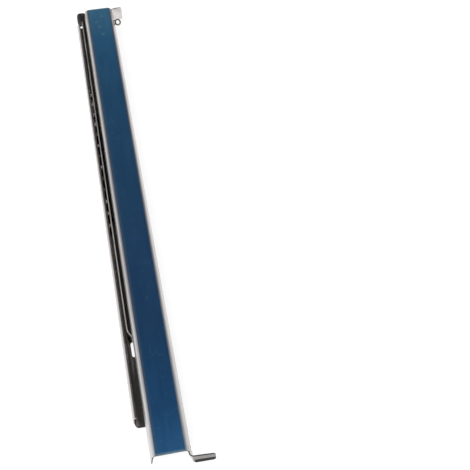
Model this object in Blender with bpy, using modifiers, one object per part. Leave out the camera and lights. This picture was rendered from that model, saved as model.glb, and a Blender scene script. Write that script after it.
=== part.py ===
"""Cabinet drawer slide, left-hand: a ball-bearing telescopic rail carrying a stainless channel.

+Z is the side that faces the drawer and -Z the side screwed to the cabinet. -Y is the front,
the way the drawer opens. +X is the side of the front finger and the rear tab.
All lengths below are in millimetres.
"""

import math

import bmesh
import bpy

MM = 0.001

# Channel that the drawer hangs on
CHANNEL_LENGTH = 550.0
FRONT = -CHANNEL_LENGTH / 2
REAR = CHANNEL_LENGTH / 2
SHEET = 1.2
WEB_TOP = 24.7
WEB_HALF = 13.9
FLANGE_HALF = 16.2
LEFT_FLANGE_HALF = 15.6
FLANGE_BOTTOM = 13.4
CHANNEL_BEND = 3.4
TONGUE_REACH = 0.6
TONGUE_TOP = 21.6

# Finger at the front of the +X flange
FINGER_END = 34.9
FINGER_Y = FRONT - 4.4
FINGER_BEND = 3.0
FINGER_ROOT_Z = (10.2, 22.2)
FINGER_TIP_Z = (9.8, 20.2)
FINGER_CORNER = 2.4
NECK_BACK = FRONT + 4.0
FLANGE_HOLE_Y = FRONT + 6.5
FLANGE_HOLE_Z = 15.2
FLANGE_HOLE_RADIUS = 0.9

# Tab and eye at the rear of the +X flange
TAB_X = (15.0, 26.6)
TAB_Z = (7.2, 23.0)
TAB_CORNER = 2.4
EYE_CENTRE = (19.9, REAR - 19.3)
EYE_HALF = (3.0, 4.9)
EYE_WIRE = 0.8
EYE_Z = 18.2
EYE_STEPS = 32

# Protective film on the web
FILM_HALF = 12.0
FILM_THICKNESS = 0.4
FILM_GAP = 0.3
FILM_CORNER = 2.2

# Rail, measured from its own centre line
RAIL_X = -5.8
CABINET_HALF = 19.4
CABINET_Y = (FRONT + 37.8, REAR + 12.0)
CABINET_WALL_Y = (FRONT + 41.2, REAR - 8.0)
CABINET_LIP_Z = 12.1
CABINET_FRONT_HALF = 19.0
CABINET_REAR_HALF = 17.4
CABINET_CORNER = 4.0
INTERMEDIATE_HALF = 13.7
INTERMEDIATE_WEB_Z = 3.2
INTERMEDIATE_TOP = 12.3
INTERMEDIATE_FLARE = 0.15
INTERMEDIATE_Y = (FRONT + 119.0, REAR - 3.0)
TAPER_LENGTH = 8.0
TAPER_WIDTH = 5.5
DRAWER_HALF = 8.6
DRAWER_WEB_Z = 12.1
DRAWER_BOTTOM = 5.6
DRAWER_Y = (FRONT + 42.0, REAR - 4.0)

# Ball cages
CAGE_SHEET = 0.6
OUTER_CAGE_HALF = 16.55
OUTER_CAGE_WEB_Z = 1.9
OUTER_CAGE_TOP = 9.3
OUTER_CAGE_Y = (FRONT + 241.0, FRONT + 437.0)
OUTER_BALL_RADIUS = 2.1
OUTER_BALL_Z = 6.8
OUTER_BALL_COUNT = 13
OUTER_BALL_PITCH = 15.1
OUTER_BALL_FIRST = FRONT + 249.0
INNER_CAGE_HALF = 11.15
INNER_CAGE_WEB_Z = 4.5
INNER_CAGE_TOP = 10.2
INNER_CAGE_Y = (FRONT + 255.0, FRONT + 405.0)
INNER_BALL_RADIUS = 1.8
INNER_BALL_Z = 7.6
INNER_BALL_COUNT = 9
INNER_BALL_PITCH = 17.0
INNER_BALL_FIRST = FRONT + 262.0

# Holes and slots in the cabinet member
HOLE_RADIUS = 2.0
MOUNT_HOLES = ((RAIL_X, FRONT + 60.0), (RAIL_X, FRONT + 350.0), (-21.2, REAR + 0.8))
SLOT_LENGTH = 15.0
MOUNT_SLOTS = ((-16.6, FRONT + 112.5), (RAIL_X, FRONT + 480.0))

# Brackets between the drawer member and the channel
BRACKET_X = (-12.0, 3.0)
BRACKET_Z = (13.6, 22.8)
BRACKET_FOOT = 6.8
BRACKET_BEND = 1.5
BRACKET_LENGTH = 30.0
BRACKET_YS = (FRONT + 75.0, FRONT + 280.0, REAR - 28.0)
RIVET_X = (-7.7, -1.3)
RIVET_RADIUS = 1.5
RIVET_HOLE = 1.8
RIVET_HEAD = 2.7

# Stops
STOP_BLOCK_X = (-24.8, -14.5)
STOP_BLOCK_Y = (REAR + 3.4, REAR + 11.4)
STOP_BLOCK_Z = (1.5, 14.9)
BUMPER_X = (-11.8, 0.2)
BUMPER_Y = (REAR - 1.6, REAR + 9.0)
BUMPER_Z = (1.5, 11.0)
BUFFER_X = (-11.0, -0.6)
BUFFER_Y = (REAR - 13.0, REAR - 5.0)
BUFFER_Z = (4.1, 8.4)

ARC_STEPS = 4

for old in list(bpy.data.objects):
    bpy.data.objects.remove(old)

PARTS = bpy.data.collections.new("cabinet_drawer_slide")
CUTTERS = bpy.data.collections.new("cutters")
for collection in (PARTS, CUTTERS):
    bpy.context.scene.collection.children.link(collection)


def material(name, colour, metallic, roughness):
    made = bpy.data.materials.new(name)
    made.use_nodes = True
    shader = made.node_tree.nodes["Principled BSDF"]
    shader.inputs["Base Color"].default_value = (*colour, 1.0)
    shader.inputs["Metallic"].default_value = metallic
    shader.inputs["Roughness"].default_value = roughness
    return made


STAINLESS = (0.74, 0.73, 0.71)
RAIL = (0.6, 0.575, 0.555)
INTERMEDIATE = (0.25, 0.225, 0.21)
ZINC = (0.55, 0.56, 0.58)
NYLON = (0.02, 0.02, 0.02)


def finish(obj, name, colour, metallic, roughness):
    obj.data.materials.clear()
    obj.data.materials.append(material(name, colour, metallic, roughness))
    return obj


def add(name, mesh, collection=PARTS):
    obj = bpy.data.objects.new(name, mesh)
    collection.objects.link(obj)
    if collection is CUTTERS:
        obj.hide_render = True
        obj.display_type = "WIRE"
    return obj


def mesh_from(name, bm, collection=PARTS):
    bmesh.ops.recalc_face_normals(bm, faces=bm.faces)
    mesh = bpy.data.meshes.new(name)
    bm.to_mesh(mesh)
    bm.free()
    return add(name, mesh, collection)


def rounded(points, radii, steps=ARC_STEPS):
    """The open line through these 2-D points, with each inner corner turned on its radius."""
    line = [points[0]]
    for (ax, ay), (bx, by), (cx, cy), radius in zip(points, points[1:], points[2:], radii):
        back = math.hypot(ax - bx, ay - by)
        ahead = math.hypot(cx - bx, cy - by)
        ux, uy = (ax - bx) / back, (ay - by) / back
        vx, vy = (cx - bx) / ahead, (cy - by) / ahead
        half = math.acos(max(-1.0, min(1.0, ux * vx + uy * vy))) / 2
        reach = radius / math.tan(half)
        mx, my = ux + vx, uy + vy
        scale = radius / math.sin(half) / math.hypot(mx, my)
        ox, oy = bx + mx * scale, by + my * scale
        first = math.atan2(by + uy * reach - oy, bx + ux * reach - ox)
        last = math.atan2(by + vy * reach - oy, bx + vx * reach - ox)
        turn = (last - first + math.pi) % (2 * math.pi) - math.pi
        for step in range(steps + 1):
            angle = first + turn * step / steps
            line.append((ox + radius * math.cos(angle), oy + radius * math.sin(angle)))
    line.append(points[-1])
    return line


def mirrored(half):
    """A half section from its free edge to the centre line, followed by its mirror image."""
    return half + [(-x, z) for x, z in reversed(half)]


def sheet(name, line_a, line_b, thickness, collection=PARTS):
    """Sheet metal between two lines of 3-D points, both on the middle of its thickness."""
    bm = bmesh.new()
    edges = []
    for line in (line_a, line_b):
        verts = [bm.verts.new([value * MM for value in point]) for point in line]
        edges += [bm.edges.new(pair) for pair in zip(verts, verts[1:])]
    bmesh.ops.bridge_loops(bm, edges=edges)
    obj = mesh_from(name, bm, collection)
    shell = obj.modifiers.new("thickness", "SOLIDIFY")
    shell.thickness = thickness * MM
    shell.offset = 0.0
    shell.use_even_offset = True
    return obj


def section(name, line, y_range, thickness, x=0.0, collection=PARTS):
    """A sheet-metal section of (x, z) points drawn along Y."""
    ends = [[(px + x, y, pz) for px, pz in line] for y in y_range]
    return sheet(name, *ends, thickness, collection)


def box(name, x, y, z, collection=PARTS):
    bm = bmesh.new()
    bmesh.ops.create_cube(bm, size=1.0)
    for vert in bm.verts:
        vert.co = [
            (low + (high - low) * (value + 0.5)) * MM
            for value, (low, high) in zip(vert.co, (x, y, z))
        ]
    return mesh_from(name, bm, collection)


def cylinder(name, x, y, z, radius, segments=20, collection=CUTTERS):
    bm = bmesh.new()
    bmesh.ops.create_cone(
        bm,
        cap_ends=True,
        segments=segments,
        radius1=radius * MM,
        radius2=radius * MM,
        depth=(z[1] - z[0]) * MM,
    )
    obj = mesh_from(name, bm, collection)
    obj.location = (x * MM, y * MM, (z[0] + z[1]) / 2 * MM)
    return obj


def plate(name, outline, z, collection=PARTS):
    """A flat plate of (x, y) outline between two heights, made a mesh."""
    curve = bpy.data.curves.new(name, "CURVE")
    curve.dimensions = "2D"
    curve.fill_mode = "BOTH"
    curve.extrude = (z[1] - z[0]) / 2 * MM
    spline = curve.splines.new("POLY")
    spline.points.add(len(outline) - 1)
    for point, (px, py) in zip(spline.points, outline):
        point.co = (px * MM, py * MM, 0.0, 1.0)
    spline.use_cyclic_u = True
    drawn = add(name + "_curve", curve, CUTTERS)
    graph = bpy.context.evaluated_depsgraph_get()
    mesh = bpy.data.meshes.new_from_object(drawn.evaluated_get(graph))
    bm = bmesh.new()
    bm.from_mesh(mesh)
    bmesh.ops.remove_doubles(bm, verts=bm.verts, dist=1e-6)
    bmesh.ops.recalc_face_normals(bm, faces=bm.faces)
    bm.to_mesh(mesh)
    bm.free()
    bpy.data.objects.remove(drawn)
    obj = add(name, mesh, collection)
    obj.location.z = (z[0] + z[1]) / 2 * MM
    return obj


def round_corners(corners, radius):
    """The closed outline through these corners, each turned on the radius."""
    ring = [corners[-1], *corners, corners[0]]
    return rounded(ring, [radius] * len(corners))[1:-1]


def outside_corner(x, y, side_x, side_y, radius, margin=1.0, steps=5):
    """What lies outside a rounded corner at (x, y), as the outline of a cutter."""
    outline = [
        (x - side_x * radius, y + side_y * margin),
        (x + side_x * margin, y + side_y * margin),
        (x + side_x * margin, y - side_y * radius),
    ]
    for step in range(steps + 1):
        angle = math.pi / 2 * step / steps
        outline.append(
            (
                x - side_x * radius * (1 - math.cos(angle)),
                y - side_y * radius * (1 - math.sin(angle)),
            )
        )
    return outline


def stand(obj, y):
    """Turns a plate drawn in (x, -z) upright, into the plane at this y."""
    obj.rotation_euler.x = -math.pi / 2
    obj.location = (0.0, y * MM, 0.0)


def combine(obj, other, operation):
    cut = obj.modifiers.new(other.name, "BOOLEAN")
    cut.operation = operation
    cut.solver = "EXACT"
    cut.object = other


def bevel(obj, width, segments=2):
    edge = obj.modifiers.new("edges", "BEVEL")
    edge.width = width * MM
    edge.segments = segments
    edge.limit_method = "ANGLE"
    edge.angle_limit = math.radians(40)


def smooth(obj):
    for face in obj.data.polygons:
        face.use_smooth = True


# Channel, with its finger, tab and front tongues in one sheet
channel_line = rounded(
    [
        (FLANGE_HALF, FLANGE_BOTTOM),
        (WEB_HALF, WEB_TOP - SHEET / 2),
        (-WEB_HALF, WEB_TOP - SHEET / 2),
        (-LEFT_FLANGE_HALF, FLANGE_BOTTOM),
    ],
    [CHANNEL_BEND] * 2,
    6,
)
channel = section("channel_cover", channel_line, (FRONT - TONGUE_REACH, REAR), SHEET)
finish(channel, "stainless", STAINLESS, 1.0, 0.28)

web_end = box(
    "web_end_cutter", (-18.0, 18.0), (FRONT - 9.0, FRONT), (TONGUE_TOP, 30.0), CUTTERS
)
combine(channel, web_end, "DIFFERENCE")


def flange_x(z):
    """Middle of the +X flange's thickness at this height."""
    return WEB_HALF + (FLANGE_HALF - WEB_HALF) * (WEB_TOP - z) / (WEB_TOP - FLANGE_BOTTOM)


flange_hole = cylinder("flange_hole_cutter", 0.0, 0.0, (-3.0, 3.0), FLANGE_HOLE_RADIUS)
flange_hole.rotation_euler.y = math.radians(75.0)
flange_hole.location = (flange_x(FLANGE_HOLE_Z) * MM, FLANGE_HOLE_Y * MM, FLANGE_HOLE_Z * MM)
combine(channel, flange_hole, "DIFFERENCE")


def finger_edge(root_z, tip_z):
    """One long edge of the finger, along the flange and round the bend to the tip."""
    root_x = flange_x(root_z)
    corners = [(root_x, NECK_BACK), (root_x, FINGER_Y), (FINGER_END, FINGER_Y)]
    flat = rounded(corners, [FINGER_BEND], 6)
    past = [max(0.0, (x - root_x) / (FINGER_END - root_x)) for x, _ in flat]
    return [(x, y, root_z + (tip_z - root_z) * share) for (x, y), share in zip(flat, past)]


finger = sheet(
    "finger_sheet",
    finger_edge(FINGER_ROOT_Z[1], FINGER_TIP_Z[1]),
    finger_edge(FINGER_ROOT_Z[0], FINGER_TIP_Z[0]),
    SHEET,
    CUTTERS,
)
for side, tip_z in zip((-1, 1), FINGER_TIP_Z):
    outline = outside_corner(FINGER_END, -tip_z, 1, -side, FINGER_CORNER)
    tip = plate(f"tip_cutter_{side}", outline, (-2.0, 2.0), CUTTERS)
    stand(tip, FINGER_Y)
    combine(finger, tip, "DIFFERENCE")
combine(channel, finger, "UNION")

tab_outline = round_corners(
    [(TAB_X[0], TAB_Z[0]), (TAB_X[1], TAB_Z[0]), (TAB_X[1], TAB_Z[1]), (TAB_X[0], TAB_Z[1])],
    TAB_CORNER,
)
tab = plate("tab_sheet", [(x, -z) for x, z in tab_outline], (-SHEET / 2, SHEET / 2), CUTTERS)
stand(tab, REAR - SHEET / 2 + 0.4)
combine(channel, tab, "UNION")

# Eye, an oval ring of wire on the +X flange
eye_curve = bpy.data.curves.new("rear_eye", "CURVE")
eye_curve.dimensions = "3D"
eye_curve.bevel_depth = EYE_WIRE * MM
eye_curve.bevel_resolution = 2
eye_spline = eye_curve.splines.new("POLY")
eye_spline.points.add(EYE_STEPS - 1)
eye_spline.use_cyclic_u = True
for step, point in enumerate(eye_spline.points):
    angle = 2 * math.pi * step / EYE_STEPS
    eye_x = EYE_CENTRE[0] + EYE_HALF[0] * math.cos(angle)
    eye_y = EYE_CENTRE[1] + EYE_HALF[1] * math.sin(angle)
    point.co = (eye_x * MM, eye_y * MM, EYE_Z * MM, 1.0)
eye = add("rear_eye", eye_curve)
finish(eye, "stainless_wire", STAINLESS, 1.0, 0.25)

# Film stuck to the web
film_outline = rounded(
    [(-FILM_HALF, FRONT + 0.2), (-FILM_HALF, REAR), (FILM_HALF, REAR), (FILM_HALF, FRONT + 0.2)],
    [FILM_CORNER, FILM_CORNER],
)
film_low = WEB_TOP + FILM_GAP
film = plate("protective_film", film_outline, (film_low, film_low + FILM_THICKNESS))
finish(film, "blue_film", (0.03, 0.10, 0.22), 0.0, 0.3)

# Cabinet member
cabinet_half = [
    (16.6, CABINET_LIP_Z),
    (CABINET_HALF, CABINET_LIP_Z),
    (CABINET_HALF, 3.4),
    (17.9, SHEET / 2),
    (0.0, SHEET / 2),
]
cabinet = section(
    "cabinet_member",
    mirrored(rounded(cabinet_half, [2.4, 3.0, 1.8])[:-1]),
    CABINET_Y,
    SHEET,
    RAIL_X,
)
finish(cabinet, "rail_steel", RAIL, 1.0, 0.2)
for end, y, wall_y, half, turn in (
    ("front", CABINET_Y[0], CABINET_WALL_Y[0], CABINET_FRONT_HALF, -1),
    ("rear", CABINET_Y[1], CABINET_WALL_Y[1], CABINET_REAR_HALF, 1),
):
    span = sorted((wall_y, y + turn * 5.0))
    for side in (-1, 1):
        for cut, inner, low in (("wall", 15.0, 2.5), ("edge", half, -2.0)):
            reach = sorted((RAIL_X + side * inner, RAIL_X + side * 24.0))
            trim = box(f"{cut}_cutter_{end}_{side}", reach, span, (low, 16.0), CUTTERS)
            combine(cabinet, trim, "DIFFERENCE")
        nib = plate(
            f"corner_cutter_{end}_{side}",
            outside_corner(RAIL_X + side * half, y, side, turn, CABINET_CORNER),
            (-2.0, 6.0),
            CUTTERS,
        )
        combine(cabinet, nib, "DIFFERENCE")
for index, (hole_x, hole_y) in enumerate(MOUNT_HOLES):
    hole = cylinder(f"mount_hole_cutter_{index}", hole_x, hole_y, (-2.0, 4.0), HOLE_RADIUS)
    combine(cabinet, hole, "DIFFERENCE")
for index, (slot_x, slot_y) in enumerate(MOUNT_SLOTS):
    ends = SLOT_LENGTH / 2
    slot_outline = round_corners(
        [
            (slot_x - HOLE_RADIUS, slot_y - ends),
            (slot_x + HOLE_RADIUS, slot_y - ends),
            (slot_x + HOLE_RADIUS, slot_y + ends),
            (slot_x - HOLE_RADIUS, slot_y + ends),
        ],
        HOLE_RADIUS * 0.98,
    )
    slot = plate(f"mount_slot_cutter_{index}", slot_outline, (-2.0, 4.0), CUTTERS)
    combine(cabinet, slot, "DIFFERENCE")

# Intermediate member
intermediate_half = [
    (INTERMEDIATE_HALF + INTERMEDIATE_FLARE, INTERMEDIATE_TOP),
    (INTERMEDIATE_HALF, INTERMEDIATE_TOP - 0.8),
    (INTERMEDIATE_HALF, INTERMEDIATE_WEB_Z),
    (0.0, INTERMEDIATE_WEB_Z),
]
intermediate = section(
    "intermediate_member",
    mirrored(rounded(intermediate_half, [1.0, 1.5])[:-1]),
    INTERMEDIATE_Y,
    SHEET,
    RAIL_X,
)
finish(intermediate, "intermediate_steel", INTERMEDIATE, 1.0, 0.24)
for side in (-1, 1):
    edge = INTERMEDIATE_HALF + 1.5
    taper = plate(
        f"taper_cutter_{side}",
        [
            (RAIL_X + side * (edge + 2.0), INTERMEDIATE_Y[0] - 1.0),
            (RAIL_X + side * (edge + 2.0), INTERMEDIATE_Y[0] + TAPER_LENGTH + 2.9),
            (RAIL_X + side * (edge - TAPER_WIDTH), INTERMEDIATE_Y[0] - 1.0),
        ],
        (0.0, 16.0),
        CUTTERS,
    )
    combine(intermediate, taper, "DIFFERENCE")

# Drawer member
drawer_half = [
    (DRAWER_HALF, DRAWER_BOTTOM),
    (DRAWER_HALF, DRAWER_WEB_Z),
    (0.0, DRAWER_WEB_Z),
]
drawer = section(
    "drawer_member",
    mirrored(rounded(drawer_half, [1.3])[:-1]),
    DRAWER_Y,
    SHEET,
    RAIL_X,
)
finish(drawer, "rail_steel_inner", RAIL, 1.0, 0.2)


def ball_cage(name, half, web_z, top, y_range, ball_z, radius, first, pitch, count):
    """A U-shaped strip with a row of balls held in each upright side."""
    line = [(half, top), (half, web_z), (0.0, web_z)]
    cage = section(name, mirrored(rounded(line, [1.0], 2)[:-1]), y_range, CAGE_SHEET, RAIL_X)
    bm = bmesh.new()
    for side in (-1, 1):
        for index in range(count):
            made = bmesh.ops.create_icosphere(bm, subdivisions=2, radius=radius * MM)
            centre = (RAIL_X + side * half, first + pitch * index, ball_z)
            bmesh.ops.translate(bm, verts=made["verts"], vec=[value * MM for value in centre])
    balls = mesh_from(name + "_balls", bm, CUTTERS)
    combine(cage, balls, "UNION")
    finish(cage, name + "_steel", ZINC, 1.0, 0.3)
    smooth(cage)


ball_cage(
    "outer_ball_cage",
    OUTER_CAGE_HALF,
    OUTER_CAGE_WEB_Z,
    OUTER_CAGE_TOP,
    OUTER_CAGE_Y,
    OUTER_BALL_Z,
    OUTER_BALL_RADIUS,
    OUTER_BALL_FIRST,
    OUTER_BALL_PITCH,
    OUTER_BALL_COUNT,
)
ball_cage(
    "inner_ball_cage",
    INNER_CAGE_HALF,
    INNER_CAGE_WEB_Z,
    INNER_CAGE_TOP,
    INNER_CAGE_Y,
    INNER_BALL_Z,
    INNER_BALL_RADIUS,
    INNER_BALL_FIRST,
    INNER_BALL_PITCH,
    INNER_BALL_COUNT,
)

# Brackets and the rivets that hold them to the drawer member
bracket_line = rounded(
    [
        (BRACKET_X[0] + BRACKET_FOOT, BRACKET_Z[0]),
        (BRACKET_X[0], BRACKET_Z[0]),
        (BRACKET_X[0], BRACKET_Z[1] - 0.2),
        (BRACKET_X[1], BRACKET_Z[1] - 0.2),
        (BRACKET_X[1], BRACKET_Z[0]),
        (BRACKET_X[1] - BRACKET_FOOT, BRACKET_Z[0]),
    ],
    [BRACKET_BEND] * 4,
    3,
)
rivet_profile = [
    (0.0, 10.0),
    (RIVET_HEAD, 10.3),
    (RIVET_HEAD, 11.2),
    (RIVET_RADIUS, 11.2),
    (RIVET_RADIUS, 14.5),
    (RIVET_HEAD, 14.5),
    (RIVET_HEAD, 15.2),
    (1.6, 15.9),
    (0.0, 16.1),
]
for place, bracket_y in zip(("front", "middle", "rear"), BRACKET_YS):
    span = (bracket_y - BRACKET_LENGTH / 2, bracket_y + BRACKET_LENGTH / 2)
    bracket = section(f"bracket_{place}", bracket_line, span, SHEET)
    finish(bracket, f"bracket_steel_{place}", ZINC, 1.0, 0.38)
    for side, rivet_x in zip(("outer", "inner"), RIVET_X):
        hole = cylinder(
            f"rivet_cutter_{place}_{side}", rivet_x, bracket_y, (9.0, 15.0), RIVET_HOLE, 12
        )
        combine(bracket, hole, "DIFFERENCE")
        combine(drawer, hole, "DIFFERENCE")
        bm = bmesh.new()
        verts = [bm.verts.new((x * MM, 0.0, z * MM)) for x, z in rivet_profile]
        for pair in zip(verts, verts[1:]):
            bm.edges.new(pair)
        mesh = bpy.data.meshes.new(f"rivet_{place}_{side}")
        bm.to_mesh(mesh)
        bm.free()
        rivet = add(f"rivet_{place}_{side}", mesh)
        turned = rivet.modifiers.new("turned", "SCREW")
        turned.axis = "Z"
        turned.steps = 12
        turned.render_steps = 12
        turned.use_merge_vertices = True
        turned.merge_threshold = 0.00001
        turned.use_normal_flip = True
        rivet.location = (rivet_x * MM, bracket_y * MM, 0.0)
        finish(rivet, f"rivet_steel_{place}_{side}", ZINC, 1.0, 0.3)

# Stops at the rear of the cabinet member and of the intermediate member
stop_block = box("rear_stop_block", STOP_BLOCK_X, STOP_BLOCK_Y, STOP_BLOCK_Z)
finish(stop_block, "black_nylon", NYLON, 0.0, 0.5)
bevel(stop_block, 2.2, 3)
bumper = box("rear_bumper", BUMPER_X, BUMPER_Y, BUMPER_Z)
finish(bumper, "black_rubber", NYLON, 0.0, 0.8)
bevel(bumper, 1.2)
buffer = box("intermediate_buffer", BUFFER_X, BUFFER_Y, BUFFER_Z)
finish(buffer, "grey_nylon", (0.10, 0.10, 0.10), 0.0, 0.55)
bevel(buffer, 0.8)
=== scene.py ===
"""Cabinet drawer slide, left-hand: the visual model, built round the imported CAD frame.

+Z faces the drawer, -Y is the front, +X is the side of the finger, the tab and the eye.
Lengths are in millimetres until a mesh is made. The floor and the lights are a plain studio.
"""

import math
import random

import bmesh
import bpy
from mathutils import Matrix, Vector


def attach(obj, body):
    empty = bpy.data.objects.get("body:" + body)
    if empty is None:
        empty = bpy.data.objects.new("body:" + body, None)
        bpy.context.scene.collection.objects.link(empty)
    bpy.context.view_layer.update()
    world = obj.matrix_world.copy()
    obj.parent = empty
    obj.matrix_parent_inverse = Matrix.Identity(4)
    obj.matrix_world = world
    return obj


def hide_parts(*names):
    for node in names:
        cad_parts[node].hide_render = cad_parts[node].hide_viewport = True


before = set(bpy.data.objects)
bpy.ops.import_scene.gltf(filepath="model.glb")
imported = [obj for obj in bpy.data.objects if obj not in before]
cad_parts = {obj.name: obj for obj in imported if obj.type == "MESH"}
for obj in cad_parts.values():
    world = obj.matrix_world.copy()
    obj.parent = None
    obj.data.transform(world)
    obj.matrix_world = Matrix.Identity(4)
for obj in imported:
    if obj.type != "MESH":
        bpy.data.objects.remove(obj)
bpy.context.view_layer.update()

MM = 0.001

# Sheet metal
SHEET = 1.2
SHEET_BEVEL = 0.12
EDGE_EASE = 0.3
EDGE_STEPS = 3

# Channel
FRONT, REAR = -275.0, 275.0
WEB_TOP = 24.7
WEB_HALF = 13.9
FLANGE_HALF = 16.2
LEFT_FLANGE_HALF = 15.6
FLANGE_BOTTOM = 13.4
CHANNEL_BEND = 3.4
TONGUE_REACH = 0.6
TONGUE_TOP = 21.6
FINGER_END = 34.9
FINGER_Y = FRONT - 4.4
FINGER_BEND = 3.0
FINGER_ROOT_Z = (10.2, 22.2)
FINGER_TIP_Z = (9.8, 20.2)
FINGER_BAND_Z = 15.1
FINGER_CORNER = 2.4
HOLE_Y = FRONT + 6.5
HOLE_Z = 15.2
HOLE_RADIUS = 0.9
HOLE_LEAN = 75.0
TAB_X = (15.0, 26.6)
TAB_Z = (7.2, 23.0)
TAB_CORNER = 2.4
TAB_BEND = 2.2

# Film
FILM_TOP = 25.2
FILM_START = FRONT + 0.1
FILM_LENGTH = 549.7
FILM_ROWS = 366
FILM_COLUMNS = 30
FILM_HALF_WIDTH = 12.1
FILM_CORNER = 2.2
FILM_THICKNESS = 0.09
FILM_BUBBLES = 34

# Rear eye
EYE_CENTRE = Vector((19.9, REAR - 19.3, 18.2))
EYE_HALF = (2.75, 4.7)
EYE_WIRE = 0.85
EYE_FOOT_OFFSET = 3.2
EYE_FOOT = ((14.95, 1.4), (15.6, 1.15), (16.3, 0.75), (17.6, 0.62))

# Rail
RAIL_X = -5.8
CABINET_Y = (FRONT + 37.8, REAR + 12.0)
CABINET_WALL_Y = (FRONT + 41.2, REAR - 8.0)
CABINET_END_HALF = (19.0, 17.4)
CABINET_CORNER = 4.0
MOUNT_HOLES = ((RAIL_X, FRONT + 60.0), (RAIL_X, FRONT + 350.0), (-21.2, REAR + 0.8))
MOUNT_HOLE_RADIUS = 2.0
MOUNT_SLOTS = ((-16.6, FRONT + 112.5), (RAIL_X, FRONT + 480.0))
MOUNT_SLOT_HALF = (2.0, 7.5)
INTERMEDIATE_Y = (FRONT + 119.0, REAR - 3.0)
INTERMEDIATE_TOP = 12.3
LEAD_IN = 10.0
LEAD_IN_DEPTH = 3.2
DRAWER_Y = (FRONT + 42.0, REAR - 4.0)
BRACKET_YS = (FRONT + 75.0, FRONT + 280.0, REAR - 28.0)
BRACKET_HALF = 15.0
RIVET_X = (-7.7, -1.3)

# Ball cages
CAGE_SHEET = 0.6
# Where the outer cage's strip turns from dark to pale.
CAGE_PALE_FROM = FRONT + 372.0
# Balls that get the dimmer painted glint.
DIM_GLINT_BALLS = (3, 4, 6, 8)

# Stops
STOP_Y = (278.4, 282.4, 286.4)
STOP_X = (-24.8, -14.5)
STOP_Z = (1.5, 14.9)
STOP_ROUNDING = (2.6, 3.9)
BUMPER_Y = (273.4, 284.0)
BUFFER_Y = (262.0, 270.0)


# ---------------------------------------------------------------- outlines


def rounded(points, radii, steps):
    """The open line through 2-D points, with each inner corner turned on its radius."""
    line = [points[0]]
    for (ax, ay), (bx, by), (cx, cy), radius in zip(points, points[1:], points[2:], radii):
        back = math.hypot(ax - bx, ay - by)
        ahead = math.hypot(cx - bx, cy - by)
        ux, uy = (ax - bx) / back, (ay - by) / back
        vx, vy = (cx - bx) / ahead, (cy - by) / ahead
        half = math.acos(max(-1.0, min(1.0, ux * vx + uy * vy))) / 2
        reach = radius / math.tan(half)
        mx, my = ux + vx, uy + vy
        scale = radius / math.sin(half) / math.hypot(mx, my)
        ox, oy = bx + mx * scale, by + my * scale
        first = math.atan2(by + uy * reach - oy, bx + ux * reach - ox)
        last = math.atan2(by + vy * reach - oy, bx + vx * reach - ox)
        turn = (last - first + math.pi) % (2 * math.pi) - math.pi
        for step in range(steps + 1):
            angle = first + turn * step / steps
            line.append((ox + radius * math.cos(angle), oy + radius * math.sin(angle)))
    line.append(points[-1])
    return line


def round_ring(corners, radius, steps=6):
    ring = [corners[-1], *corners, corners[0]]
    return rounded(ring, [radius] * len(corners), steps)[1:-1]


def rectangle(x, y):
    return [(x[0], y[0]), (x[1], y[0]), (x[1], y[1]), (x[0], y[1])]


def mirrored(half):
    """A half section from its free edge to the centre line, followed by its mirror image."""
    return half + [(-x, z) for x, z in reversed(half)]


def sheet_outline(mid, thickness, edge=EDGE_EASE, steps=EDGE_STEPS):
    """The closed outline of sheet metal whose middle follows an open line, its edges eased."""
    points = [Vector(point) for point in mid]
    half = thickness / 2
    sides = ([], [])
    for index, point in enumerate(points):
        before = points[max(index - 1, 0)]
        after = points[min(index + 1, len(points) - 1)]
        along = (after - before).normalized()
        across = Vector((-along.y, along.x))
        sides[0].append(point + across * half)
        sides[1].append(point - across * half)
    start = (points[0] - points[1]).normalized()
    end = (points[-1] - points[-2]).normalized()

    def lip(tip, out, first_side):
        across = Vector((-out.y, out.x)) * first_side
        made = []
        for side in (1, -1):
            centre = tip - out * edge + across * side * (half - edge)
            quarter = []
            for step in range(steps + 1):
                angle = math.pi / 2 * step / steps
                quarter.append(
                    centre + across * side * edge * math.cos(angle) + out * edge * math.sin(angle)
                )
            made += quarter if side == 1 else quarter[::-1]
        return made

    loop = sides[0][1:-1] + lip(points[-1], end, 1) + sides[1][1:-1][::-1]
    loop += lip(points[0], start, 1)
    return [(point.x, point.y) for point in loop]


# ---------------------------------------------------------------- meshes


def place(name, mesh):
    obj = bpy.data.objects.new(name, mesh)
    bpy.context.scene.collection.objects.link(obj)
    return obj


def mesh_object(name, verts, faces):
    mesh = bpy.data.meshes.new(name)
    mesh.from_pydata([[value * MM for value in vert] for vert in verts], [], faces)
    bm = bmesh.new()
    bm.from_mesh(mesh)
    bmesh.ops.recalc_face_normals(bm, faces=bm.faces)
    bm.to_mesh(mesh)
    bm.free()
    return place(name, mesh)


def loft(name, loops):
    """A closed solid through closed loops of 3-D points that all have the same count."""
    count = len(loops[0])
    verts = [point for loop in loops for point in loop]
    faces = [tuple(range(count)), tuple(range(len(verts) - count, len(verts)))[::-1]]
    for row in range(len(loops) - 1):
        for column in range(count):
            after = (column + 1) % count
            faces.append(
                (
                    row * count + column,
                    row * count + after,
                    (row + 1) * count + after,
                    (row + 1) * count + column,
                )
            )
    return mesh_object(name, verts, faces)


def along_y(name, outline, ys, x=0.0):
    return loft(name, [[(px + x, y, pz) for px, pz in outline] for y in ys])


def along_z(name, outline, zs):
    return loft(name, [[(px, py, z) for px, py in outline] for z in zs])


# Where along its width a ribbon has rows of faces; the close pair bounds the finger's dark band.
RIBBON_ROWS = (0.25, 0.5, 0.53, 0.75)


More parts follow.
